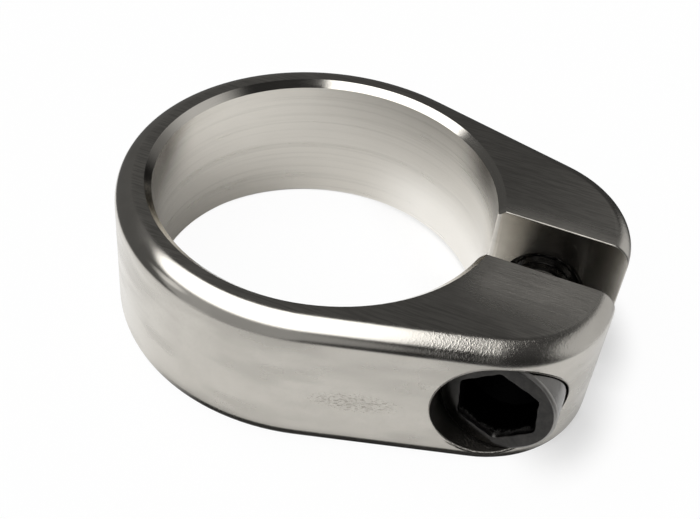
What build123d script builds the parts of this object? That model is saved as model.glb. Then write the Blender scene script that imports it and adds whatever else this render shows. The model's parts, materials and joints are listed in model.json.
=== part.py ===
from build123d import *
from math import acos, atan2, degrees, hypot, radians, tan
import os

# Seatpost clamp: a one-piece split steel collar, closed round the seat tube by one socket head cap screw.
# The origin is on the bore's axis at half height. +Z runs up the bore and +X points from the bore to the
# slot. The screw lies along Y, with its head in the plain ear on the -Y side and its thread in the tapped
# ear on the +Y side. All sizes are in millimetres and degrees.

# Ring
BORE_DIAMETER = 30.0        # outside of the seat tube that the collar grips
RING_WALL = 3.1             # thickness of the ring away from the ears
COLLAR_HEIGHT = 13.6
OUTER_EDGE_ROUND = 1.8      # top and bottom edges of the outside
BORE_LEAD_IN = 0.6          # turned chamfer at both ends of the bore

# Ears and slot
SLOT_WIDTH = 6.0
EAR_END_ROUND = 10.25       # plan radius of each ear's end
EAR_END_OFFSET = 0.45       # centre of that radius, outwards from the slot's face
BORE_CORNER_ROUND = 0.4     # upright corners between the bore and the slot
SLOT_EDGE_BREAK = 0.1       # deburred edges of the slot
SCREW_TO_BORE = 5.0         # screw axis to the bore's wall
SCREW_TO_TIP = 6.35         # screw axis to the tip of the ears

# Clamp screw
THREAD_DIAMETER = 6.0
SCREW_LENGTH = 18.0         # under the head
SCREW_END_CHAMFER = 0.7
HEAD_DIAMETER = 9.5
HEAD_HEIGHT = 6.0
HEAD_EDGE_ROUND = 0.3
HEX_ACROSS_FLATS = 6.0
HEX_CORNER_ROUND = 0.25
HEX_DEPTH = 3.4
HEX_POINT_ANGLE = 120.0     # drill point below the hexagon
HEX_TURN = 35.0             # a corner of the hexagon stands this far from +X towards +Z

# Holes for the screw
HEAD_SEAT = 3.25            # steel left between the head and the slot
HEAD_CLEARANCE = 0.15       # radial, head in its counterbore
SHANK_CLEARANCE = 0.3       # radial, shank in the plain ear
THREAD_CLEARANCE = 0.05     # radial, thread in the tapped ear
TAP_COUNTERSINK = 0.65      # lead-in of the tapped hole, on the slot's side

# Sizes that follow
BORE_RADIUS = BORE_DIAMETER / 2
RING_RADIUS = BORE_RADIUS + RING_WALL
HALF_HEIGHT = COLLAR_HEIGHT / 2
HALF_SLOT = SLOT_WIDTH / 2
SCREW_X = BORE_RADIUS + SCREW_TO_BORE
EAR_END_X = SCREW_X + SCREW_TO_TIP - EAR_END_ROUND
EAR_END_Y = HALF_SLOT + EAR_END_OFFSET
THREAD_RADIUS = THREAD_DIAMETER / 2
HEAD_RADIUS = HEAD_DIAMETER / 2
TAP_RADIUS = THREAD_RADIUS + THREAD_CLEARANCE
SEAT_Y = -HALF_SLOT - HEAD_SEAT
CUT_LENGTH = 2 * (SCREW_X + SCREW_TO_TIP)

# The flanks are straight, and tangent to the ring and to the ears' ends
FLANK_ANGLE = degrees(
    atan2(EAR_END_Y, EAR_END_X) + acos((RING_RADIUS - EAR_END_ROUND) / hypot(EAR_END_X, EAR_END_Y))
)

ON_BASE = (Align.CENTER, Align.CENTER, Align.MIN)
UNDER_TOP = (Align.CENTER, Align.CENTER, Align.MAX)


def on_screw_axis(y):
    """Place on the screw's axis at a given Y: local X is the model's X, local Z is its +Y."""
    return Location(Plane(origin=(SCREW_X, y, 0), x_dir=(1, 0, 0), z_dir=(0, 1, 0)))


def collar_blank():
    """Ring and ears as one solid plan, with rounded top and bottom edges."""
    with BuildPart() as blank:
        with BuildSketch():
            with BuildLine():
                ring = CenterArc((0, 0), RING_RADIUS, FLANK_ANGLE, 360 - 2 * FLANK_ANGLE)
                tapped_end = CenterArc((EAR_END_X, EAR_END_Y), EAR_END_ROUND, 0, FLANK_ANGLE)
                plain_end = CenterArc((EAR_END_X, -EAR_END_Y), EAR_END_ROUND, 0, -FLANK_ANGLE)
                Line(tapped_end @ 1, ring @ 0)
                Line(plain_end @ 1, ring @ 1)
                Line(tapped_end @ 0, plain_end @ 0)
            make_face()
        extrude(amount=HALF_HEIGHT, both=True)
        fillet(blank.faces().filter_by(Axis.Z).edges(), OUTER_EDGE_ROUND)
    return blank.part


def bore_and_slot():
    """Keyhole to cut through the blank: the bore, the slot and the rounds where they meet."""
    with BuildPart() as keyhole:
        with BuildSketch() as plan:
            Circle(BORE_RADIUS)
            Rectangle(CUT_LENGTH, SLOT_WIDTH, align=(Align.MIN, Align.CENTER))
            corners = plan.vertices().filter_by(lambda v: 0 < v.X < SCREW_X)
            fillet(corners, BORE_CORNER_ROUND)
        extrude(amount=COLLAR_HEIGHT, both=True)
    return keyhole.part


def bore_lead_ins():
    """Cones that turn the lead-in at each end of the bore."""
    cone = Cone(BORE_RADIUS, BORE_RADIUS + BORE_LEAD_IN, BORE_LEAD_IN, align=UNDER_TOP)
    upper = Pos(0, 0, HALF_HEIGHT) * cone
    return [upper, mirror(upper, about=Plane.XY)]


def screw_holes():
    """Counterbore and plain hole through one ear, tapped hole and countersink through the other."""
    counterbore = on_screw_axis(SEAT_Y) * Cylinder(HEAD_RADIUS + HEAD_CLEARANCE, CUT_LENGTH, align=UNDER_TOP)
    plain_hole = on_screw_axis(0) * Cylinder(THREAD_RADIUS + SHANK_CLEARANCE, CUT_LENGTH, align=UNDER_TOP)
    tapped_hole = on_screw_axis(0) * Cylinder(TAP_RADIUS, CUT_LENGTH, align=ON_BASE)
    countersink = on_screw_axis(HALF_SLOT) * Cone(
        TAP_RADIUS + TAP_COUNTERSINK, TAP_RADIUS, TAP_COUNTERSINK, align=ON_BASE
    )
    return [counterbore, plain_hole, tapped_hole, countersink]


def make_collar():
    """Split collar: the blank, cut by the keyhole, deburred along the slot and drilled for the screw."""
    collar = collar_blank() - bore_and_slot()
    slot_faces = collar.faces().filter_by(Axis.Y)
    slot_edges = [edge for face in slot_faces for edge in face.edges().sort_by(Axis.X)[1:]]
    collar = fillet(slot_edges, SLOT_EDGE_BREAK)
    return collar - bore_lead_ins() - screw_holes()


def make_clamp_screw():
    """Socket head cap screw: rounded head, hexagon socket with a drill point, chamfered end."""
    with BuildPart() as screw:
        Cylinder(HEAD_RADIUS, HEAD_HEIGHT, align=UNDER_TOP)
        face_rim = screw.faces().sort_by(Axis.Z)[0].edges()
        fillet(face_rim, HEAD_EDGE_ROUND)
        Cylinder(THREAD_RADIUS, SCREW_LENGTH, align=ON_BASE)
        end_rim = screw.faces().sort_by(Axis.Z)[-1].edges()
        chamfer(end_rim, SCREW_END_CHAMFER)
        with BuildSketch(Plane.XY.offset(-HEAD_HEIGHT)) as socket:
            RegularPolygon(HEX_ACROSS_FLATS / 2, 6, major_radius=False, rotation=-HEX_TURN)
            fillet(socket.vertices(), HEX_CORNER_ROUND)
        extrude(amount=HEX_DEPTH, mode=Mode.SUBTRACT)
        point_depth = HEX_ACROSS_FLATS / 2 / tan(radians(HEX_POINT_ANGLE / 2))
        with Locations((0, 0, HEX_DEPTH - HEAD_HEIGHT)):
            Cone(HEX_ACROSS_FLATS / 2, 0, point_depth, align=ON_BASE, mode=Mode.SUBTRACT)
    return on_screw_axis(SEAT_Y) * screw.part


os.makedirs("parts", exist_ok=True)
export_step(make_collar(), "parts/collar.step")
export_step(make_clamp_screw(), "parts/clamp_screw.step")
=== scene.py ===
# %% [markdown]
# # A seatpost clamp, dressed for its portrait
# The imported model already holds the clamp's two pieces: the split steel collar and the socket head cap
# screw. This lesson loads that frame, gives the steel its satin and its machining marks, replaces the plain
# screw by one with a real thread, and sets up a small white studio. Meshes are in metres and materials
# count in millimetres, both in the frame's own axes: +Z runs up the bore, +X points from the bore to the
# slot, and the screw lies along Y with its head on the -Y side.

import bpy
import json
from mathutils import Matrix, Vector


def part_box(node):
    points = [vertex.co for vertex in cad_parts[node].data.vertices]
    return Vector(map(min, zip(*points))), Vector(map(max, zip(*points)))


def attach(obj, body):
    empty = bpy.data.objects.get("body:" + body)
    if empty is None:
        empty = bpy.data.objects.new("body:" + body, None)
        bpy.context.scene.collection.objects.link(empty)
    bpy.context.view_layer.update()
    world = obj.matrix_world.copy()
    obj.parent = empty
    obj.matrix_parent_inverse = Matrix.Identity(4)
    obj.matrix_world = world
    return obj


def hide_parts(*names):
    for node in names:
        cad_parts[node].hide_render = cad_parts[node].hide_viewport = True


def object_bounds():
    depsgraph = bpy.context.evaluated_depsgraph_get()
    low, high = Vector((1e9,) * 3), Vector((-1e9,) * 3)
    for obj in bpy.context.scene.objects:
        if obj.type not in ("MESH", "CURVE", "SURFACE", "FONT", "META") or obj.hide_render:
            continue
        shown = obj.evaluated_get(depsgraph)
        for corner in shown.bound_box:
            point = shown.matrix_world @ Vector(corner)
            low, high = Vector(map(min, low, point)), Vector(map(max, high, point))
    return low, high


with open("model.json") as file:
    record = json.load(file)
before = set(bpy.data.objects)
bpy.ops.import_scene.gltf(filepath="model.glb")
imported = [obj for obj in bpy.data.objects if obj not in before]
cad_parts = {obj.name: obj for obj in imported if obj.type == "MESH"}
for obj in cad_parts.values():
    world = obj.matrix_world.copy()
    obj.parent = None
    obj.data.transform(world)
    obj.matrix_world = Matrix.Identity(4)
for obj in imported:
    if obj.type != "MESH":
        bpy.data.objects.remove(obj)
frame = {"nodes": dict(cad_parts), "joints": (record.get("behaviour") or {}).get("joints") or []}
cad_box = [list(corner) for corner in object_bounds()]

import json
from math import acos, atan2, cos, hypot, pi, radians, sin, sqrt, tan

import bmesh
import bpy
from mathutils import Matrix, Vector

MM = 0.001
scene = bpy.context.scene
collar = frame["nodes"]["collar"]


def corners_in_mm(box):
    """The two corners of a box in rounded millimetres, for printing."""
    return [[round(value / MM, 2) for value in corner] for corner in box]


print("nodes", sorted(frame["nodes"]), "box in mm", corners_in_mm(cad_box))

# %% [markdown]
# ## The camera
# The photograph was taken from above the front right, close enough for strong perspective. Its camera was
# solved from the clamp's own edges, so the numbers here are a fit: a direction, a distance, a small roll
# and a focal length in pixels of a 700 pixel wide frame. Writing the camera's matrix from those numbers is
# more exact than aiming it by a constraint.

# %% Place the camera
FRAME_WIDTH = 700
FOCAL_PIXELS = 1092.8
SENSOR_WIDTH = 36
CAMERA_AZIMUTH, CAMERA_ELEVATION, CAMERA_ROLL = radians(16.333), radians(41.901), radians(7.199)
CAMERA_DISTANCE = 98.92 * MM
AIM_RIGHT, AIM_UP = 2.798 * MM, -1.577 * MM

back = Vector((sin(CAMERA_AZIMUTH) * cos(CAMERA_ELEVATION), -cos(CAMERA_AZIMUTH) * cos(CAMERA_ELEVATION),
               sin(CAMERA_ELEVATION)))
level = Vector((cos(CAMERA_AZIMUTH), sin(CAMERA_AZIMUTH), 0))
upright = back.cross(level)
right = cos(CAMERA_ROLL) * level + sin(CAMERA_ROLL) * upright
up = cos(CAMERA_ROLL) * upright - sin(CAMERA_ROLL) * level

camera = bpy.data.objects.new("camera", bpy.data.cameras.new("camera"))
scene.collection.objects.link(camera)
camera.data.sensor_fit = "HORIZONTAL"
camera.data.sensor_width = SENSOR_WIDTH
camera.data.lens = SENSOR_WIDTH * FOCAL_PIXELS / FRAME_WIDTH
camera.data.clip_start = 5 * MM
camera.matrix_world = Matrix((right, up, back)).transposed().to_4x4()
camera.location = AIM_RIGHT * level + AIM_UP * upright + CAMERA_DISTANCE * back
scene.camera = camera
print("lens", round(camera.data.lens, 2), "mm, at", [round(v / MM, 1) for v in camera.location], "mm")

# %% [markdown]
# ## A short way to write nodes
# Materials, the sky and the thread are all node trees. A few small helpers keep them readable. One adds a
# node and fills its inputs, either with a number or with another node's output, and the others do the same
# for arithmetic, for a smooth step between two limits and for a mix of colours. Most marks on the clamp are
# a product of such steps: one says where the mark may be along X, one how high, and so on.

# %% Node helpers
def fill(tree, socket, value):
    """Link an output socket to an input, or write a plain value on it."""
    if isinstance(value, bpy.types.NodeSocket):
        tree.links.new(value, socket)
    else:
        socket.default_value = value


def add(tree, kind, inputs=None, **settings):
    """Add a node, set its properties and fill its inputs by name or by number."""
    node = tree.nodes.new(kind)
    for name, value in settings.items():
        setattr(node, name, value)
    for name, value in (inputs or {}).items():
        fill(tree, node.inputs[name], value)
    return node


def calc(tree, operation, *values, clamp=False):
    """One step of arithmetic, whose result is an output socket."""
    node = add(tree, "ShaderNodeMath", dict(enumerate(values)), operation=operation, use_clamp=clamp)
    return node.outputs[0]


def product(tree, result, *factors):
    """The product of two or more values."""
    for factor in factors:
        result = calc(tree, "MULTIPLY", result, factor)
    return result


def ramp(tree, value, low, high, to_low=0.0, to_high=1.0):
    """A smooth step from one value to another as the input goes from low to high."""
    inputs = {"Value": value, "From Min": low, "From Max": high, "To Min": to_low, "To Max": to_high}
    return add(tree, "ShaderNodeMapRange", inputs, interpolation_type="SMOOTHSTEP").outputs["Result"]


def blend(tree, share, first, second):
    """A mix of two colours."""
    node = add(tree, "ShaderNodeMix", data_type="RGBA")
    for socket, value in zip((node.inputs[0], node.inputs[6], node.inputs[7]), (share, first, second)):
        fill(tree, socket, value)
    return node.outputs[2]


print("node helpers ready")

# %% [markdown]
# The next helpers are about places. A material reads the object's own coordinates, turned into millimetres,
# and finds a region by its distance from an axis or along a direction. A mark that runs one way is noise
# stretched along that way, so noise gets its own scale along each axis.

# %% Helpers for places on the clamp
def new_material(name):
    """An empty node material with its output, ready to be filled."""
    material = bpy.data.materials.new(name)
    material.use_nodes = True
    tree = material.node_tree
    tree.nodes.clear()
    return material, tree, add(tree, "ShaderNodeOutputMaterial")


def millimetres(tree):
    """The object's own coordinates in millimetres."""
    place = add(tree, "ShaderNodeTexCoord").outputs["Object"]
    return add(tree, "ShaderNodeMapping", {"Vector": place, "Scale": (1000, 1000, 1000)}).outputs[0]


def axes_of(tree, vector):
    """The X, Y and Z of a vector, as output sockets."""
    return add(tree, "ShaderNodeSeparateXYZ", {0: vector}).outputs


def radius_of(tree, first, second):
    """Distance from an axis, from the two coordinates across it."""
    squares = [calc(tree, "MULTIPLY", value, value) for value in (first, second)]
    return calc(tree, "SQRT", calc(tree, "ADD", *squares))


def distance_along(tree, first, second, way):
    """How far a place lies along a direction, from two coordinates and the direction's share of each."""
    return calc(tree, "MULTIPLY_ADD", first, way[0], calc(tree, "MULTIPLY", second, way[1]))


def streaks(tree, place, scale, detail):
    """Noise with its own scale along each axis, in marks per millimetre."""
    stretched = add(tree, "ShaderNodeMapping", {"Vector": place, "Scale": scale}).outputs[0]
    inputs = {"Vector": stretched, "Scale": 1.0, "Detail": detail, "Roughness": 0.6}
    return add(tree, "ShaderNodeTexNoise", inputs).outputs["Fac"]


print("place helpers ready")

# %% [markdown]
# ## The sky
# Bare steel shows little colour of its own: it shows the room. The real room had one broad bright window
# that reached from the viewer's left over the clamp, a paler wall on the right, and was dark in between and
# behind. All of it is read back from the reflections, so the places and strengths below are a fit. A
# window's straight edges are great circles to the steel, so each edge is a plane through the clamp, and the
# window is where the planes agree. Paler walls are round soft patches. Lamps could stand for all this, but
# a world of nodes keeps the window's edges, and the steel shows those edges. Its strength is set so that a
# level white sheet comes out white and no brighter.

# %% Light the studio
WINDOW_STRENGTH = 2.4
WINDOW_FOOT, WINDOW_FULL = radians(17), radians(35)
# For each edge: azimuth and elevation of the plane's normal, and the cosines between which the light grows
WINDOW_EDGES = ((-71.5, 7.5, -0.005, 0.085), (45, 39, -0.02, 0.09), (-33, 15, 0.02, 0.12))
# For each patch: azimuth and elevation, outer and inner radius in degrees, and strength
ROOM_PATCHES = ((-20, 0, 43, 37, 0.36), (-56, 8, 13, 5, 0.5), (116, 6, 49, 32, 0.6), (162, 40, 20, 8, 0.12))
PALE_SIDE, PALE_TURN = (-100, 10), (-0.2, 0.8)
ROOM_DARK, ROOM_PALE = 0.028, 0.115


def sky_cosine(tree, direction, azimuth, elevation):
    """Cosine of the angle between a direction and an aim in degrees. Azimuth 0 is -Y, and 90 is +X."""
    a, e = radians(azimuth), radians(elevation)
    aim = (sin(a) * cos(e), -cos(a) * cos(e), sin(e))
    return add(tree, "ShaderNodeVectorMath", {0: direction, 1: aim}, operation="DOT_PRODUCT").outputs["Value"]


world = bpy.data.worlds.new("studio")
scene.world = world
world.use_nodes = True
tree = world.node_tree
tree.nodes.clear()
direction = add(tree, "ShaderNodeTexCoord").outputs["Generated"]
window = ramp(tree, axes_of(tree, direction)["Z"], sin(WINDOW_FOOT), sin(WINDOW_FULL), 0.0, WINDOW_STRENGTH)
for azimuth, elevation, dark, lit in WINDOW_EDGES:
    window = product(tree, window, ramp(tree, sky_cosine(tree, direction, azimuth, elevation), dark, lit))
room = ramp(tree, sky_cosine(tree, direction, *PALE_SIDE), *PALE_TURN, ROOM_DARK, ROOM_PALE)
for azimuth, elevation, outer, inner, strength in ROOM_PATCHES:
    nearness = sky_cosine(tree, direction, azimuth, elevation)
    wall = ramp(tree, nearness, cos(radians(outer)), cos(radians(inner)), 0.0, strength)
    room = calc(tree, "ADD", room, wall)
brightness = calc(tree, "MAXIMUM", window, room)
background = add(tree, "ShaderNodeBackground", {"Color": (1, 1, 1, 1), "Strength": brightness})
tree.links.new(background.outputs[0], add(tree, "ShaderNodeOutputWorld").inputs["Surface"])
scene.view_settings.view_transform = "Standard"
print("sky: one window of strength", WINDOW_STRENGTH, "and", len(ROOM_PATCHES), "paler walls in a dim room")

# %% [markdown]
# ## The floor
# The clamp lies on a white sheet at the level of the collar's lower face. A square plane would do from
# above, but from low down its end would show as a dark horizon. So it is a wide round sheet that sweeps up
# far away, as a paper backdrop does.

# %% Lay the floor
# Radius and rise of each ring of the sheet, in metres
SWEEP = ((1.5, 0.0), (1.9, 0.05), (2.2, 0.2), (2.35, 0.45), (2.4, 0.75))
SWEEP_SIDES = 64

floor_z = cad_box[0][2]
corners = []
for radius, rise in SWEEP:
    angles = [2 * pi * i / SWEEP_SIDES for i in range(SWEEP_SIDES)]
    corners += [(radius * cos(angle), radius * sin(angle), floor_z + rise) for angle in angles]
faces = [tuple(range(SWEEP_SIDES))]
for low in range(0, len(corners) - SWEEP_SIDES, SWEEP_SIDES):
    high = low + SWEEP_SIDES
    for i in range(SWEEP_SIDES):
        before = (i - 1) % SWEEP_SIDES
        faces.append((low + i, low + before, high + before, high + i))
floor_mesh = bpy.data.meshes.new("floor")
floor_mesh.from_pydata(corners, [], faces)
floor = bpy.data.objects.new("floor", floor_mesh)
scene.collection.objects.link(floor)
print("floor at", round(floor_z / MM, 2), "mm, of", len(faces), "faces")

# %% [markdown]
# The sheet takes the clamp's soft shadow as any matt surface does, and a share of plain white keeps it as
# pale as in the photograph, both for the eye and for the steel that mirrors it. The steel also shows what
# the eye can't see from here: the dark line of contact under the rounded lower edge, the dim floor of the
# slot, and a sheet that ends a little way in front of the clamp. These need the distance from the clamp's
# plan, which is the hull of a large circle, the ring, and a small one, the end of an ear. Their limits, in
# millimetres, are fitted to the reflections in the photograph, so they hold for this stage and aren't a
# property of the clamp.

# %% Where the sheet is dim
RING_RADIUS, EAR_RADIUS, EAR_X, EAR_Y = 18.1, 10.25, 16.1, 3.45


def plan_distance(tree, x, y):
    """Distance in millimetres outside the hull of the ring and the ears' ends."""
    span = hypot(EAR_X, EAR_Y)
    to_ear = (EAR_X / span, EAR_Y / span)
    lean = (RING_RADIUS - EAR_RADIUS) / span
    beside = calc(tree, "ABSOLUTE", y)
    along = distance_along(tree, x, beside, to_ear)
    off = calc(tree, "ABSOLUTE", distance_along(tree, beside, x, (to_ear[0], -to_ear[1])))
    slide = distance_along(tree, off, along, (-lean / sqrt(1 - lean ** 2) / span, 1 / span))
    slide = calc(tree, "MINIMUM", calc(tree, "MAXIMUM", slide, 0.0), 1.0)
    from_axis = radius_of(tree, calc(tree, "MULTIPLY_ADD", slide, -span, along), off)
    hull = calc(tree, "MULTIPLY_ADD", slide, EAR_RADIUS - RING_RADIUS, RING_RADIUS)
    return calc(tree, "SUBTRACT", from_axis, hull)


sheet, tree, output = new_material("white_sheet")
x, y, _ = axes_of(tree, millimetres(tree))
gap, off_axis = plan_distance(tree, x, y), radius_of(tree, x, y)
rays = add(tree, "ShaderNodeLightPath").outputs
mirrored = calc(tree, "MAXIMUM", rays["Is Glossy Ray"], rays["Is Transmission Ray"])

# Painted shade on the sheet, for the steel only: a contact shadow under the rounded lower edge and a dim slot
# floor
nose = calc(tree, "MAXIMUM", ramp(tree, x, 25.6, 23.0, 0.25, 1.0), ramp(tree, gap, 0.1, -0.2))
contact = product(tree, nose, ramp(tree, gap, 1.45, 0.95), ramp(tree, off_axis, 15.5, 18.2),
                  ramp(tree, x, -12.0, -3.0, 0.0, 0.95))
in_slot = product(tree, ramp(tree, calc(tree, "ABSOLUTE", y), 4.2, 2.8), ramp(tree, x, 17.0, 20.0, 0.0, 0.85),
                  ramp(tree, x, 27.0, 25.0))
shade = product(tree, mirrored, calc(tree, "MAXIMUM", contact, in_slot))
front_end = product(tree, ramp(tree, gap, 11.0, 20.0), ramp(tree, x, -24.0, -12.0),
                    ramp(tree, x, 20.0, 40.0, 1.0, 0.8))
ended = product(tree, mirrored, calc(tree, "MAXIMUM", front_end, ramp(tree, gap, 13.0, 26.0)))
print("the steel sees a dark contact, a dim slot and the sheet's end")

# %% Put the sheet together
SHEET_WHITE, BLACK = (0.93, 0.93, 0.93, 1), (0, 0, 0, 1)
BORE_FLOOR = 16.0
EYE_PALE, SHADOW_DEPTH = 0.96, 0.5
FROM_LIGHT, UP_LIT_WALL = (0.75, 0.66), (0.9, 0.45)

matt = add(tree, "ShaderNodeBsdfDiffuse", {"Color": blend(tree, shade, SHEET_WHITE, BLACK)})
unshaded = calc(tree, "SUBTRACT", 1.0, shade)
pale = add(tree, "ShaderNodeEmission", {"Color": (1, 1, 1, 1), "Strength": unshaded})
leeward = distance_along(tree, x, y, FROM_LIGHT)
in_shadow = product(tree, ramp(tree, gap, 4.5, 0.5), ramp(tree, leeward, 8.0, 16.0))
for_eye = calc(tree, "MULTIPLY_ADD", in_shadow, -SHADOW_DEPTH, EYE_PALE)
# Painted light on the sheet, for the steel only: more plain white towards the left, and in the bore towards
# its lit side
painted_light_round_clamp = ramp(tree, x, -6.0, -18.0, 0.3, 1.0)
painted_light_in_bore = ramp(tree, distance_along(tree, x, y, UP_LIT_WALL), -6.0, 10.0, 0.02, 0.72)
for_steel = calc(tree, "MULTIPLY_ADD", calc(tree, "LESS_THAN", off_axis, BORE_FLOOR),
                 calc(tree, "SUBTRACT", painted_light_in_bore, painted_light_round_clamp), painted_light_round_clamp)
paleness = calc(tree, "MULTIPLY_ADD", rays["Is Camera Ray"], for_eye, product(tree, mirrored, for_steel))
paper = add(tree, "ShaderNodeMixShader", {0: paleness, 1: matt.outputs[0], 2: pale.outputs[0]})
beyond = add(tree, "ShaderNodeBsdfTransparent", {"Color": (1, 1, 1, 1)})
seen = add(tree, "ShaderNodeMixShader", {0: ended, 1: paper.outputs[0], 2: beyond.outputs[0]})
tree.links.new(seen.outputs[0], output.inputs["Surface"])
floor_mesh.materials.append(sheet)
print("white sheet ready")

# %% [markdown]
# ## Satin steel
# The collar is turned, milled and then rubbed to a satin by hand. Its marks tell how it was made: fine
# rings left by the boring tool, straight rubbing lines on the flat top, soft smears and a fine grain round
# the outside, and a few small scuffs. Object coordinates in millimetres place them, and the direction of
# the surface chooses which mark goes where, so no unwrapping is needed. The first cell finds the regions:
# the bore and its turned lead-in, the flat faces and the brushed ears on them, the rounded edges, the outer
# wall and the counterbore.

# %% Regions of the collar
SCREW_X = frame["joints"][0]["pos_m"][0]
BORE_EDGE = 15.61
LEAD_IN_FOOT, LEAD_IN_TOP = 6.12, 6.24
COUNTERBORE = 4.9
PAST_SLOT_EDGE = 3.2

steel, tree, output = new_material("satin_steel")
in_mm = millimetres(tree)
x, y, z = axes_of(tree, in_mm)
facing = axes_of(tree, add(tree, "ShaderNodeTexCoord").outputs["Normal"])
tilt, aside, off_middle = (calc(tree, "ABSOLUTE", value) for value in (facing["Z"], y, z))
across = calc(tree, "SUBTRACT", x, SCREW_X / MM)
off_bore, off_screw = radius_of(tree, x, y), radius_of(tree, across, z)

in_bore = ramp(tree, off_bore, BORE_EDGE, BORE_EDGE - 0.04)
lead_in = product(tree, in_bore, ramp(tree, off_middle, LEAD_IN_FOOT, LEAD_IN_TOP))
on_flat = ramp(tree, tilt, 0.97, 0.995)
from_slot = calc(tree, "MAXIMUM", y, calc(tree, "MULTIPLY", y, -0.5))
brushed = product(tree, on_flat, ramp(tree, x, 11.0, 18.0), ramp(tree, from_slot, 6.0, 2.8))
on_edge = product(tree, ramp(tree, tilt, 0.10, 0.30), ramp(tree, tilt, 0.99, 0.96))
on_round = product(tree, on_edge, calc(tree, "SUBTRACT", 1.0, in_bore))
in_hole = product(tree, ramp(tree, off_screw, COUNTERBORE + 0.06, COUNTERBORE + 0.02),
                  calc(tree, "LESS_THAN", y, -PAST_SLOT_EDGE))
bored_out = calc(tree, "MAXIMUM", in_bore, in_hole)
on_wall = calc(tree, "SUBTRACT", ramp(tree, tilt, 0.25, 0.05), bored_out, clamp=True)
print("regions: bore, lead-in, flats, brushed ears, edges, outer wall, counterbore")

# %% [markdown]
# The rubbing lines run along X, parallel to the slot, so their noise is slow in X and quick in Y. The
# boring tool's rings are slow all round and quick up the bore. Smears are long and lie round the wall,
# while cloud, grain and blotches look the same every way. The sparkle is a scatter of cells, each a tiny
# dent with its own slope.

# %% Rubbed and turned marks
rub_lines = streaks(tree, in_mm, (0.35, 6.0, 1.0), 3.0)
turn_rings = streaks(tree, in_mm, (0.03, 0.03, 2.6), 5.0)
smears = streaks(tree, in_mm, (0.10, 0.10, 0.32), 2.0)
cloud = streaks(tree, in_mm, (0.30, 0.30, 0.30), 3.0)
grain = streaks(tree, in_mm, (9.0, 9.0, 9.0), 2.0)
blotches = streaks(tree, in_mm, (4.5, 4.5, 4.5), 2.0)
cells = add(tree, "ShaderNodeTexVoronoi", {"Vector": in_mm, "Scale": 7.0, "Randomness": 1.0})
sparkle = cells.outputs["Distance"]
print("marks: rub lines, turning rings, smears, cloud, grain, blotches, sparkle")

# %% [markdown]
# The scuffs are noise stretched a little round the collar, of which only the peaks stay. They show in one
# worn patch on the flank beside the screw, and here and there where a broad noise is high. The tapped hole
# gets its thread as a bump, because nobody sees more of it. A second bump breaks the sharp rim of the
# counterbore as a file does, and a third roughens the burr left at its foot. Last come the flecks at the
# dim end of the long highlight.

# %% Scuffs, tapped thread, filed rim and flecks
PITCH = 1.0
TAPPED_RADIUS = 3.15
WORN_PLACE, WORN_SHAPE = (9.5, -16.1, -0.9), (0.25, 0.25, 0.85)
RIM_FRONT = -8.0

to_worn = add(tree, "ShaderNodeVectorMath", {0: in_mm, 1: WORN_PLACE}, operation="SUBTRACT").outputs[0]
to_worn = add(tree, "ShaderNodeVectorMath", {0: to_worn, 1: WORN_SHAPE}, operation="MULTIPLY").outputs[0]
to_worn = add(tree, "ShaderNodeVectorMath", {0: to_worn}, operation="LENGTH").outputs["Value"]
strays = ramp(tree, streaks(tree, in_mm, (0.3, 0.3, 0.5), 2.0), 0.68, 0.76, 0.0, 0.4)
worn = calc(tree, "MAXIMUM", ramp(tree, to_worn, 1.1, 0.5), strays)
scuffs = product(tree, on_wall, worn, ramp(tree, streaks(tree, in_mm, (3.0, 3.0, 7.5), 3.0), 0.47, 0.68))

turned = calc(tree, "DIVIDE", calc(tree, "ARCTAN2", z, across), 2 * pi)
climb = calc(tree, "ADD", calc(tree, "DIVIDE", y, PITCH), turned)
in_tap = product(tree, calc(tree, "LESS_THAN", off_screw, TAPPED_RADIUS),
                 calc(tree, "GREATER_THAN", y, PAST_SLOT_EDGE))
groove = product(tree, calc(tree, "PINGPONG", climb, 0.5), in_tap)

by_rim = calc(tree, "LESS_THAN", y, RIM_FRONT)
filed = product(tree, by_rim, ramp(tree, off_screw, COUNTERBORE + 0.16, COUNTERBORE))
burr = product(tree, by_rim, ramp(tree, off_screw, COUNTERBORE + 0.4, COUNTERBORE + 0.1),
               ramp(tree, z, -3.6, -4.4), ramp(tree, off_screw, COUNTERBORE - 0.04, COUNTERBORE + 0.02))
flecked = product(tree, on_round, ramp(tree, x, 12.0, 17.0, 0.08, 1.0), ramp(tree, blotches, 0.46, 0.60))
print("scuffs, tapped thread, filed rim and flecks ready")

# %% [markdown]
# Height and roughness are put together next. The height is in millimetres of relief and stays tiny, because
# polished steel shows a scratch of a few thousandths as a clear line. The brushed ears scatter the window's
# light, so they are rougher and look paler. The turned lead-in shines, and so do the slot's walls towards
# its open end, which look darker and sharper in the photograph than the rubbed wall outside.

# %% Relief and roughness of the steel
# For each: the mark, the region that has it, and its height in millimetres
RELIEF = ((rub_lines, brushed, 0.018), (turn_rings, in_bore, 0.006), (smears, on_wall, 0.004),
          (scuffs, on_wall, -0.008), (groove, in_tap, 1.0), (filed, on_wall, -0.09), (blotches, burr, 0.12),
          (sparkle, flecked, 0.005))
RUB_EVERYWHERE, GRAIN_EVERYWHERE = 0.001, 0.002
ROUGH_EVERYWHERE, ROUGH_CLOUD, SLOT_SHINE = 0.09, 0.10, 0.6

relief = calc(tree, "MULTIPLY", rub_lines, RUB_EVERYWHERE)
relief = calc(tree, "MULTIPLY_ADD", grain, GRAIN_EVERYWHERE, relief)
for mark, region, height in RELIEF:
    relief = calc(tree, "MULTIPLY_ADD", mark, calc(tree, "MULTIPLY", region, height), relief)
bump = add(tree, "ShaderNodeBump", {"Strength": 1.0, "Distance": MM, "Height": relief})

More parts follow.
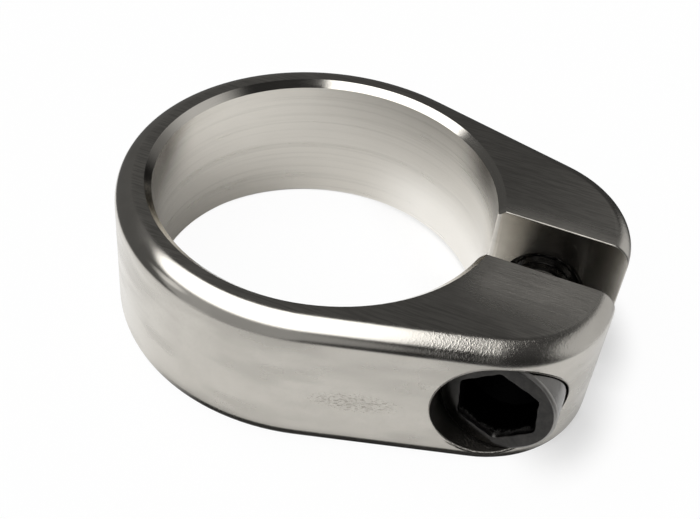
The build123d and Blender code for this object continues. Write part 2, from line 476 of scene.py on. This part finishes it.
slot_wall = product(tree, ramp(tree, x, 19.0, 23.0, 0.0, SLOT_SHINE), ramp(tree, aside, 3.12, 3.06))
rubbed_wall = product(tree, on_wall, calc(tree, "SUBTRACT", 1.0, slot_wall))
ear_edge = product(tree, on_edge, ramp(tree, x, 16.0, 20.0))
dull = calc(tree, "MULTIPLY_ADD", cloud, ROUGH_CLOUD, ROUGH_EVERYWHERE)
for mark, region, more in ((rub_lines, brushed, 0.50), (smears, rubbed_wall, 0.22),
                           (turn_rings, in_bore, 0.20), (scuffs, on_wall, 0.30)):
    dull = calc(tree, "MULTIPLY_ADD", mark, calc(tree, "MULTIPLY", region, more), dull)
for region, more in ((in_hole, 0.25), (lead_in, -0.12), (ear_edge, 0.08)):
    dull = calc(tree, "MULTIPLY_ADD", region, more, dull)
print("relief from", len(RELIEF), "marks")

# %% [markdown]
# Colour comes last. Clean steel is a warm pale grey that varies a little, with the marks above in it. Some
# other tones are painted light and shade that the fitted room doesn't give: a painted reflection makes the
# bore paler at its foot, painted shade darkens it near its upper edge, on the left and beside the slot, a
# painted reflection makes the left wall paler, and painted shade darkens the counterbore. The smears and
# grain thin out towards the left, which lightens the left wall as well, and the slot's edges are darker in
# patches. The places and strengths of all these are a fit.

# %% Colour of the steel
SATIN_DARK, SATIN_PALE = (0.55, 0.525, 0.48, 1), (0.60, 0.575, 0.527, 1)
# Painted reflection tones for the bore's foot and the left wall; painted shade tones for bore and counterbore
BORED, TURNED_LINE, PAINTED_BORE_FOOT = (0.64, 0.613, 0.562, 1), (0.58, 0.555, 0.507, 1), (0.86, 0.835, 0.785, 1)
PAINTED_LEFT_REFLECTION, RUB_LINE = (0.68, 0.653, 0.6, 1), (0.44, 0.42, 0.385, 1)
SMEAR, GRAIN = (0.51, 0.488, 0.446, 1), (0.48, 0.458, 0.415, 1)
PAINTED_BORE_SHADE, SLOT_EDGE_DARK, PAINTED_COUNTERBORE_SHADE = (0.03, 0.025, 0.02, 1), (0.10, 0.095, 0.085, 1), (0.045, 0.04, 0.034, 1)
SCUFF = (0.37, 0.335, 0.295, 1)

bored_lines = product(tree, in_bore, ramp(tree, turn_rings, 0.48, 0.70))
# Painted reflection: the bore paler at its foot, on the side the window lights
bore_foot_reflection = product(tree, in_bore, ramp(tree, x, -2.0, 6.0), ramp(tree, z, 1.0, -4.0))
# Painted shade: the bore darker near its upper edge on the left and beside the slot
left_bore_shade = product(tree, ramp(tree, y, 4.0, -2.0), ramp(tree, x, -11.0, -13.0),
                      ramp(tree, z, -1.0, 5.5, 0.0, 0.72))
right_bore_shade = product(tree, ramp(tree, x, 8.0, 12.3), ramp(tree, z, 1.5, 5.5, 0.0, 0.88),
                       ramp(tree, y, 3.2, 3.9),
                       ramp(tree, z, LEAD_IN_TOP + 0.02, LEAD_IN_FOOT + 0.02, 0.3, 1.0))
bore_shade_share = product(tree, in_bore, calc(tree, "MAXIMUM", left_bore_shade, right_bore_shade))
# Painted reflection: the outer wall paler towards the left
left_wall_reflection = product(tree, on_wall, ramp(tree, x, -5.0, -14.0), ramp(tree, y, 6.0, -2.0))
rubbed_lines = product(tree, on_flat, ramp(tree, rub_lines, 0.40, 0.65))
# Real smears and grain, thinned towards the left as painted light
smears_and_left_light = product(tree, on_wall, ramp(tree, x, -18.0, -6.0, 0.25, 1.0))
# The slot's edges, darker in patches
slot_edge = product(tree, on_edge, calc(tree, "GREATER_THAN", x, 14.0), ramp(tree, aside, 3.2, 3.12))

# Among these tones, the counterbore's near-black one is painted shade
tone = blend(tree, ramp(tree, cloud, 0.3, 0.7), SATIN_DARK, SATIN_PALE)
for share, other in ((in_bore, BORED), (bored_lines, TURNED_LINE), (bore_foot_reflection, PAINTED_BORE_FOOT),
                     (left_wall_reflection, PAINTED_LEFT_REFLECTION), (bore_shade_share, PAINTED_BORE_SHADE), (rubbed_lines, RUB_LINE),
                     (product(tree, smears_and_left_light, ramp(tree, smears, 0.42, 0.66)), SMEAR),
                     (product(tree, smears_and_left_light, ramp(tree, grain, 0.50, 0.75, 0.0, 0.6)), GRAIN),
                     (product(tree, slot_edge, ramp(tree, smears, 0.40, 0.56, 0.4, 0.85)), SLOT_EDGE_DARK),
                     (product(tree, in_hole, 0.85), PAINTED_COUNTERBORE_SHADE), (product(tree, scuffs, 0.55), SCUFF)):
    tone = blend(tree, share, tone, other)
surface = add(tree, "ShaderNodeBsdfPrincipled",
              {"Base Color": tone, "Metallic": 1.0, "Roughness": dull, "Normal": bump.outputs[0]})
tree.links.new(surface.outputs[0], output.inputs["Surface"])
print("satin steel ready,", len(tree.nodes), "nodes")

# %% [markdown]
# ## The polished collar
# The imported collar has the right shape, cut into small flat facets. On polished steel even a degree's jump
# in the surface's direction shows as a line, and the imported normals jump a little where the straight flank
# meets the ear's end and where a round meets a flat. The form is simple enough to know its direction
# exactly: outside, the plan turns about the bore's axis, then about the ear's own centre, with a straight
# flank between, and the edge rounds tilt it.

# %% Exact direction of the collar's outside
HALF_HEIGHT, EDGE_ROUND = 6.8, 1.8
FLANK_ANGLE = atan2(EAR_Y, EAR_X) + acos((RING_RADIUS - EAR_RADIUS) / hypot(EAR_X, EAR_Y))
ON_SURFACE = 0.03


def outer_direction(x, y, z):
    """Exact direction of the collar's outside at a point in millimetres, or None away from the outside."""
    beside = abs(y)
    round_ear, round_bore = atan2(beside - EAR_Y, x - EAR_X), atan2(beside, x)
    if x > EAR_X and beside < EAR_Y:
        angle, reach = 0.0, x - EAR_X - EAR_RADIUS
    elif round_ear <= FLANK_ANGLE:
        angle, reach = round_ear, hypot(x - EAR_X, beside - EAR_Y) - EAR_RADIUS
    elif round_bore >= FLANK_ANGLE:
        angle, reach = round_bore, hypot(x, y) - RING_RADIUS
    else:
        angle, reach = FLANK_ANGLE, x * cos(FLANK_ANGLE) + beside * sin(FLANK_ANGLE) - RING_RADIUS
    lift = min(max((abs(z) - HALF_HEIGHT + EDGE_ROUND) / EDGE_ROUND, 0.0), 1.0)
    outwards = sqrt(1 - lift ** 2)
    if abs(reach + EDGE_ROUND * (1 - outwards)) > ON_SURFACE:
        return None
    left_or_right = 1 if y > 0 else -1
    up_or_down = 1 if z > 0 else -1
    return Vector((outwards * cos(angle), outwards * sin(angle) * left_or_right, lift * up_or_down))


print("flank at", round(FLANK_ANGLE / radians(1), 2), "degrees")

# %% [markdown]
# A copy of the collar takes that exact direction at each corner of its outer faces and keeps every point.
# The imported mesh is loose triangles, so the copy is merged first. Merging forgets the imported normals, and
# the inner faces still need those, so they are carried through it as an attribute of the corners.

# %% Polish the collar's rounds
MERGE_DISTANCE = 1e-7
SAME_WAY = 0.9

polished_mesh = collar.data.copy()
polished_mesh.name = "polished_collar"
packed = [value for corner in polished_mesh.corner_normals for value in corner.vector]
polished_mesh.attributes.new("direction", "FLOAT_VECTOR", "CORNER").data.foreach_set("vector", packed)
form = bmesh.new()
form.from_mesh(polished_mesh)
bmesh.ops.remove_doubles(form, verts=form.verts, dist=MERGE_DISTANCE)
open_edges = sum(not edge.is_manifold for edge in form.edges)
form.to_mesh(polished_mesh)
form.free()
kept = polished_mesh.attributes["direction"]
directions = [Vector(corner.vector) for corner in kept.data]
polished_mesh.attributes.remove(kept)
exact_faces = 0
for face in polished_mesh.polygons:
    exact = [outer_direction(*(polished_mesh.vertices[i].co / MM)) for i in face.vertices]
    if all(way and way.dot(face.normal) > SAME_WAY for way in exact):
        exact_faces += 1
        for corner, way in zip(face.loop_indices, exact):
            directions[corner] = way
polished_mesh.normals_split_custom_set(directions)
polished_mesh.materials.clear()
polished_mesh.materials.append(steel)
polished = bpy.data.objects.new("polished_collar", polished_mesh)
scene.collection.objects.link(polished)
print("polished collar:", exact_faces, "of", len(polished_mesh.polygons), "faces have an exact direction,",
      open_edges, "open edges")

# %% [markdown]
# ## Black oxide
# The screw is blackened, not painted: a thin dark skin that still shines, oiled, and rubbed grey where it
# has touched something. The side of the head is paler grey in patches, and the key rubs the mouth of the
# socket. Painted shade darkens the socket itself and the head's left side, and a painted highlight lies on
# the right of the head's rim. All lie at known places about the screw's axis, so the same coordinates find
# them.

# %% Regions of the screw
HEAD_FACE_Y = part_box("clamp_screw")[0].y
HEAD_HEIGHT = 6.0
SOCKET_REACH = 3.62

oxide, tree, output = new_material("black_oxide_steel")
in_mm = millimetres(tree)
x, y, z = axes_of(tree, in_mm)
across = calc(tree, "SUBTRACT", x, SCREW_X / MM)
off_screw = radius_of(tree, across, z)
below_face = calc(tree, "SUBTRACT", y, HEAD_FACE_Y / MM)
mottle, fine = streaks(tree, in_mm, (1.3, 1.3, 1.3), 5.0), streaks(tree, in_mm, (12.0, 12.0, 12.0), 2.0)

in_head = calc(tree, "LESS_THAN", below_face, HEAD_HEIGHT - 0.1)
on_side = product(tree, in_head, ramp(tree, off_screw, 4.66, 4.74))
on_rim = product(tree, ramp(tree, off_screw, 4.44, 4.56), ramp(tree, below_face, 0.34, 0.24))
# Inside the socket, whose near-black colour is painted shade
in_socket = product(tree, in_head, calc(tree, "LESS_THAN", off_screw, SOCKET_REACH),
                    ramp(tree, below_face, 0.02, 0.5))
# Painted shade on the head's left side, deep in the counterbore
head_left_shade = product(tree, in_head, ramp(tree, across, -2.4, -4.0, 0.0, 0.75))
# The head's side, paler grey in patches
pale_head_side = product(tree, on_side, ramp(tree, mottle, 0.25, 0.6, 0.6, 1.0))
# Painted highlight on the right of the head's rim
rim_highlight = product(tree, on_rim, ramp(tree, across, 0.5, 3.0))
ragged = calc(tree, "MULTIPLY_ADD", mottle, 1.6, below_face)
key_wear = product(tree, in_socket, ramp(tree, z, -0.6, -1.6), ramp(tree, ragged, 1.5, 1.2))
bare_specks = product(tree, key_wear, ramp(tree, fine, 0.58, 0.68))
print("regions: head, side, rim, socket, key wear")

# %% Put the black oxide together
OXIDE_DARK, OXIDE_PALE = (0.036, 0.035, 0.034, 1), (0.052, 0.050, 0.047, 1)
# Painted shade for the head's left side and the socket, and a painted highlight for the rim
PAINTED_HEAD_SHADE, PAINTED_SOCKET_SHADE = (0.008, 0.008, 0.007, 1), (0.002, 0.002, 0.002, 1)
PALE_HEAD_SIDE, PAINTED_RIM_HIGHLIGHT = (0.20, 0.194, 0.185, 1), (0.36, 0.35, 0.335, 1)
KEY_WEAR, BARE_SPECK = (0.07, 0.068, 0.065, 1), (0.22, 0.215, 0.20, 1)

skin = blend(tree, ramp(tree, mottle, 0.35, 0.7), OXIDE_DARK, OXIDE_PALE)
for share, other in ((head_left_shade, PAINTED_HEAD_SHADE), (pale_head_side, PALE_HEAD_SIDE), (rim_highlight, PAINTED_RIM_HIGHLIGHT),
                     (in_socket, PAINTED_SOCKET_SHADE), (key_wear, KEY_WEAR), (bare_specks, BARE_SPECK)):
    skin = blend(tree, share, skin, other)
sheen = calc(tree, "MULTIPLY_ADD", mottle, 0.16, 0.10)
for region, more in ((in_socket, 0.35), (on_rim, 0.25)):
    sheen = calc(tree, "MULTIPLY_ADD", region, more, sheen)
grit = add(tree, "ShaderNodeBump", {"Strength": 1.0, "Distance": MM, "Height": product(tree, fine, 0.0015)})
surface = add(tree, "ShaderNodeBsdfPrincipled",
              {"Base Color": skin, "Metallic": 1.0, "Roughness": sheen, "Normal": grit.outputs[0]})
tree.links.new(surface.outputs[0], output.inputs["Surface"])
print("black oxide ready,", len(tree.nodes), "nodes")

# %% [markdown]
# ## The thread
# The screw has an M6 coarse thread: a ridge that winds round the shank and climbs one millimetre a turn. It
# could be a curve with a profile swept along it, but the ends would then need trimming. Here a Geometry
# Nodes tree rolls a flat grid into a tube. Each point knows its angle and its height, the two together say
# how far it is through a turn of the ridge, and that gives its distance from the axis. The rows of the grid
# climb with the ridge, so its crest is clean, and a whole number of turns lets the grid's two sides meet.
# Near the head the ridge fades into a neck, and at the far end a cone trims it.

# %% The thread's node tree
THREAD_SIZES = ("Crest Radius", "Root Radius", "Pitch", "Start", "Length", "Neck", "End Chamfer", "Axis X")
THREAD_COUNTS = ("Sides", "Rows per Turn")
ROOT_FLAT, CREST_FLAT = 0.2, 0.875
SEAM_DISTANCE = 1e-6
TURN_SLACK = 0.01


def thread_tree():
    """A tree that rolls a grid into a threaded shank along Y, from named sizes in metres."""
    tree = bpy.data.node_groups.new("threaded_shank", "GeometryNodeTree")
    kinds = [(name, "NodeSocketFloat") for name in THREAD_SIZES]
    kinds += [(name, "NodeSocketInt") for name in THREAD_COUNTS]
    kinds += [("Finish", "NodeSocketMaterial")]
    sockets = {name: tree.interface.new_socket(name, in_out="INPUT", socket_type=kind)
               for name, kind in kinds}
    tree.interface.new_socket("Mesh", in_out="OUTPUT", socket_type="NodeSocketGeometry")
    given = add(tree, "NodeGroupInput").outputs

    turns = calc(tree, "SUBTRACT", calc(tree, "DIVIDE", given["Length"], given["Pitch"]), TURN_SLACK)
    turns = calc(tree, "ADD", calc(tree, "CEIL", turns), 1.0)
    rows = calc(tree, "ADD", calc(tree, "MULTIPLY", turns, given["Rows per Turn"]), 1.0)
    columns = calc(tree, "ADD", given["Sides"], 1.0)
    grid = add(tree, "GeometryNodeMeshGrid",
               {"Size X": 1.0, "Size Y": 1.0, "Vertices X": columns, "Vertices Y": rows})
    spot = axes_of(tree, add(tree, "GeometryNodeInputPosition").outputs[0])
    share_round = calc(tree, "ADD", spot["X"], 0.5)
    share_along = calc(tree, "ADD", spot["Y"], 0.5)

    climbed = calc(tree, "ADD", calc(tree, "MULTIPLY", share_along, turns),
                   calc(tree, "SUBTRACT", share_round, 1.0))
    along = calc(tree, "MAXIMUM", calc(tree, "MULTIPLY", climbed, given["Pitch"]), 0.0)
    along = calc(tree, "MINIMUM", along, given["Length"])
    phase = calc(tree, "SUBTRACT", calc(tree, "DIVIDE", along, given["Pitch"]), share_round)
    slope = calc(tree, "MULTIPLY", calc(tree, "PINGPONG", phase, 0.5), 2.0)
    flanks = {"Value": slope, "From Min": ROOT_FLAT, "From Max": CREST_FLAT}
    ridge = add(tree, "ShaderNodeMapRange", flanks).outputs["Result"]
    grown = ramp(tree, along, given["Neck"], calc(tree, "ADD", given["Neck"], given["Pitch"]))
    depth = calc(tree, "SUBTRACT", given["Crest Radius"], given["Root Radius"])
    radius = calc(tree, "MULTIPLY_ADD", calc(tree, "MULTIPLY", ridge, grown), depth, given["Root Radius"])
    to_end = calc(tree, "SUBTRACT", given["Length"], along)
    cone = calc(tree, "ADD", calc(tree, "SUBTRACT", given["Crest Radius"], given["End Chamfer"]), to_end)
    radius = calc(tree, "MINIMUM", radius, cone)

    angle = calc(tree, "MULTIPLY", share_round, 2 * pi)
    place = add(tree, "ShaderNodeCombineXYZ", {
        "X": calc(tree, "MULTIPLY_ADD", calc(tree, "COSINE", angle), radius, given["Axis X"]),
        "Y": calc(tree, "ADD", along, given["Start"]),
        "Z": calc(tree, "MULTIPLY", calc(tree, "SINE", angle), radius)})
    rolled = add(tree, "GeometryNodeSetPosition",
                 {"Geometry": grid.outputs["Mesh"], "Position": place.outputs[0]})
    closed = add(tree, "GeometryNodeMergeByDistance",
                 {"Geometry": rolled.outputs[0], "Distance": SEAM_DISTANCE})
    plain = add(tree, "GeometryNodeRealizeInstances", {"Geometry": closed.outputs[0]})
    finished = add(tree, "GeometryNodeSetMaterial",
                   {"Geometry": plain.outputs[0], "Material": given["Finish"]})
    tree.links.new(finished.outputs[0], add(tree, "NodeGroupOutput").inputs[0])
    return tree, {name: socket.identifier for name, socket in sockets.items()}


tree, identifiers = thread_tree()
print("thread inputs:", ", ".join(identifiers))

# %% [markdown]
# The tree's inputs get the sizes of this screw. Its evaluated result becomes a plain mesh, and the object
# that carried the modifier is thrown away.

# %% Make the thread
SIDES, ROWS_PER_TURN = 96, 16
SEAT_Y = HEAD_FACE_Y + HEAD_HEIGHT * MM
SCREW_END_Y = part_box("clamp_screw")[1].y
CREST_RADIUS, ROOT_RADIUS = 2.99 * MM, 2.42 * MM
NECK, END_CHAMFER = 0.8 * MM, 0.7 * MM

shank = bpy.data.objects.new("thread", bpy.data.meshes.new("thread"))
scene.collection.objects.link(shank)
modifier = shank.modifiers.new("thread", "NODES")
modifier.node_group = tree
sizes = {"Crest Radius": CREST_RADIUS, "Root Radius": ROOT_RADIUS, "Pitch": PITCH * MM, "Start": SEAT_Y,
         "Length": SCREW_END_Y - SEAT_Y, "Neck": NECK, "End Chamfer": END_CHAMFER, "Axis X": SCREW_X,
         "Sides": SIDES, "Rows per Turn": ROWS_PER_TURN, "Finish": oxide}
for name, value in sizes.items():
    modifier[identifiers[name]] = value
evaluated = shank.evaluated_get(bpy.context.evaluated_depsgraph_get())
thread_mesh = bpy.data.meshes.new_from_object(evaluated)
bpy.data.objects.remove(shank)
print("thread:", len(thread_mesh.vertices), "points,", round((SCREW_END_Y - SEAT_Y) / (PITCH * MM)), "turns")

# %% [markdown]
# ## The head
# A socket head is turned from bar and its hexagon is pressed in with a punch, over a drilled hole whose
# point is left at the bottom. Keys have since bruised the hexagon's mouth, unevenly and most on its lower
# flats. Nothing repeats here, so the head is built ring by ring: from the drill point, up the walls of the
# hexagon, over its worn mouth, across the face, round the rim and down to the seat. The hexagon's rings
# have as many points as the round ones, so each pair of rings joins with plain quads.

# %% Rings of the head
HEX_FLAT, HEX_CORNER, HEX_DEPTH = 3.0 * MM, 0.25 * MM, 3.4 * MM
HEX_TURN = radians(35)
HALF_POINT_ANGLE = radians(60)
HEX_FLOOR_Y = HEAD_FACE_Y + HEX_DEPTH
HEAD_RADIUS, RIM, SEAT_BREAK = 4.75 * MM, 0.3 * MM, 0.15 * MM
# Flare and depth of each ring of the worn mouth, in millimetres
WORN_MOUTH = ((0, 1.0), (0.04, 0.5), (0.09, 0.2), (0.14, 0.03), (0.17, 0))
RIM_STEPS = (0, 18, 36, 54, 72, 90)
# Extra flare of the lower flats, unevenness of the flare, and flare of the corners, as shares of a ring's
# flare
LOWER_BRUISE, UNEVEN_BRUISE, CORNER_FLARE = 0.9, 0.3, 1.5
LOWEST, CORNER_REACH = radians(270), 0.2
POINT_TIP, POINT_BASE = 0.02 * MM, 0.995 * HEX_FLAT
RING_ANGLES = [2 * pi * i / SIDES for i in range(SIDES)]


def round_ring(radius, y):
    """A circle of points about the screw's axis."""
    return [(SCREW_X + radius * cos(angle), y, radius * sin(angle)) for angle in RING_ANGLES]


def hex_ring(flare, y):
    """A hexagon with rounded corners, points spread by angle and an uneven flare, most on the lower flats."""
    points = []
    for angle in RING_ANGLES:
        bruise = 1 + LOWER_BRUISE * max(0, cos(angle - LOWEST)) ** 2
        bruise += UNEVEN_BRUISE * sin(11 * angle + 1) * sin(5 * angle)
        flat, corner = HEX_FLAT + bruise * flare, HEX_CORNER + CORNER_FLARE * flare
        off = (angle - HEX_TURN) % (pi / 3)
        off = min(off, pi / 3 - off)
        to_corner = (flat - corner) / cos(pi / 6)
        bent = to_corner * cos(off) + sqrt(max(corner ** 2 - (to_corner * sin(off)) ** 2, 0))
        straight = flat / cos(pi / 6 - off)
        radius = bent if to_corner * sin(off) <= corner * sin(pi / 6) and off < CORNER_REACH else straight
        points.append((SCREW_X + radius * cos(angle), y, radius * sin(angle)))
    return points


rings = [round_ring(POINT_TIP, HEX_FLOOR_Y + HEX_FLAT / tan(HALF_POINT_ANGLE)),
         round_ring(POINT_BASE, HEX_FLOOR_Y), hex_ring(0, HEX_FLOOR_Y)]
rings += [hex_ring(flare * MM, HEAD_FACE_Y + depth * MM) for flare, depth in WORN_MOUTH]
rings += [round_ring(HEAD_RADIUS - RIM + RIM * sin(radians(step)),
                     HEAD_FACE_Y + RIM - RIM * cos(radians(step)))
          for step in RIM_STEPS]
rings += [round_ring(HEAD_RADIUS, SEAT_Y - SEAT_BREAK), round_ring(HEAD_RADIUS - SEAT_BREAK, SEAT_Y),
          round_ring(ROOT_RADIUS, SEAT_Y)]
print(len(rings), "rings of", SIDES, "points")

# %% [markdown]
# The last ring of the head is the start of the thread, so head and thread become one closed mesh once their
# doubles are merged and the far end has its cap.

# %% Join head and thread
JOIN_DISTANCE = 2e-6
SHARP_ANGLE = radians(28)

form = bmesh.new()
form.from_mesh(thread_mesh)
end_ring = [vert for vert in form.verts if abs(vert.co.y - SCREW_END_Y) < MERGE_DISTANCE]
end_middle = form.verts.new((SCREW_X, SCREW_END_Y, 0))
end_edges = [edge for edge in form.edges
             if edge.is_boundary and all(vert in end_ring for vert in edge.verts)]
for edge in end_edges:
    form.faces.new((*edge.verts, end_middle))
made = [[form.verts.new(point) for point in ring] for ring in rings]
for inner, outer in zip(made, made[1:]):
    for i in range(SIDES):
        form.faces.new((inner[i - 1], inner[i], outer[i], outer[i - 1]))
form.faces.new(made[0])
bmesh.ops.remove_doubles(form, verts=form.verts, dist=JOIN_DISTANCE)
bmesh.ops.recalc_face_normals(form, faces=form.faces)
for face in form.faces:
    face.smooth = True
    face.material_index = 0
open_edges = sum(not edge.is_manifold for edge in form.edges)

screw_mesh = bpy.data.meshes.new("socket_head_screw")
form.to_mesh(screw_mesh)
form.free()
screw_mesh.set_sharp_from_angle(angle=SHARP_ANGLE)
screw_mesh.materials.clear()
screw_mesh.materials.append(oxide)
screw = bpy.data.objects.new("socket_head_screw", screw_mesh)
scene.collection.objects.link(screw)
print("screw:", len(screw_mesh.polygons), "faces,", open_edges, "open edges")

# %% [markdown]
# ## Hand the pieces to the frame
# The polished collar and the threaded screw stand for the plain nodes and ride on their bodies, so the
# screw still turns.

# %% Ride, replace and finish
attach(screw, "clamp_screw")
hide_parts("clamp_screw")
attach(polished, "collar")
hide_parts("collar")
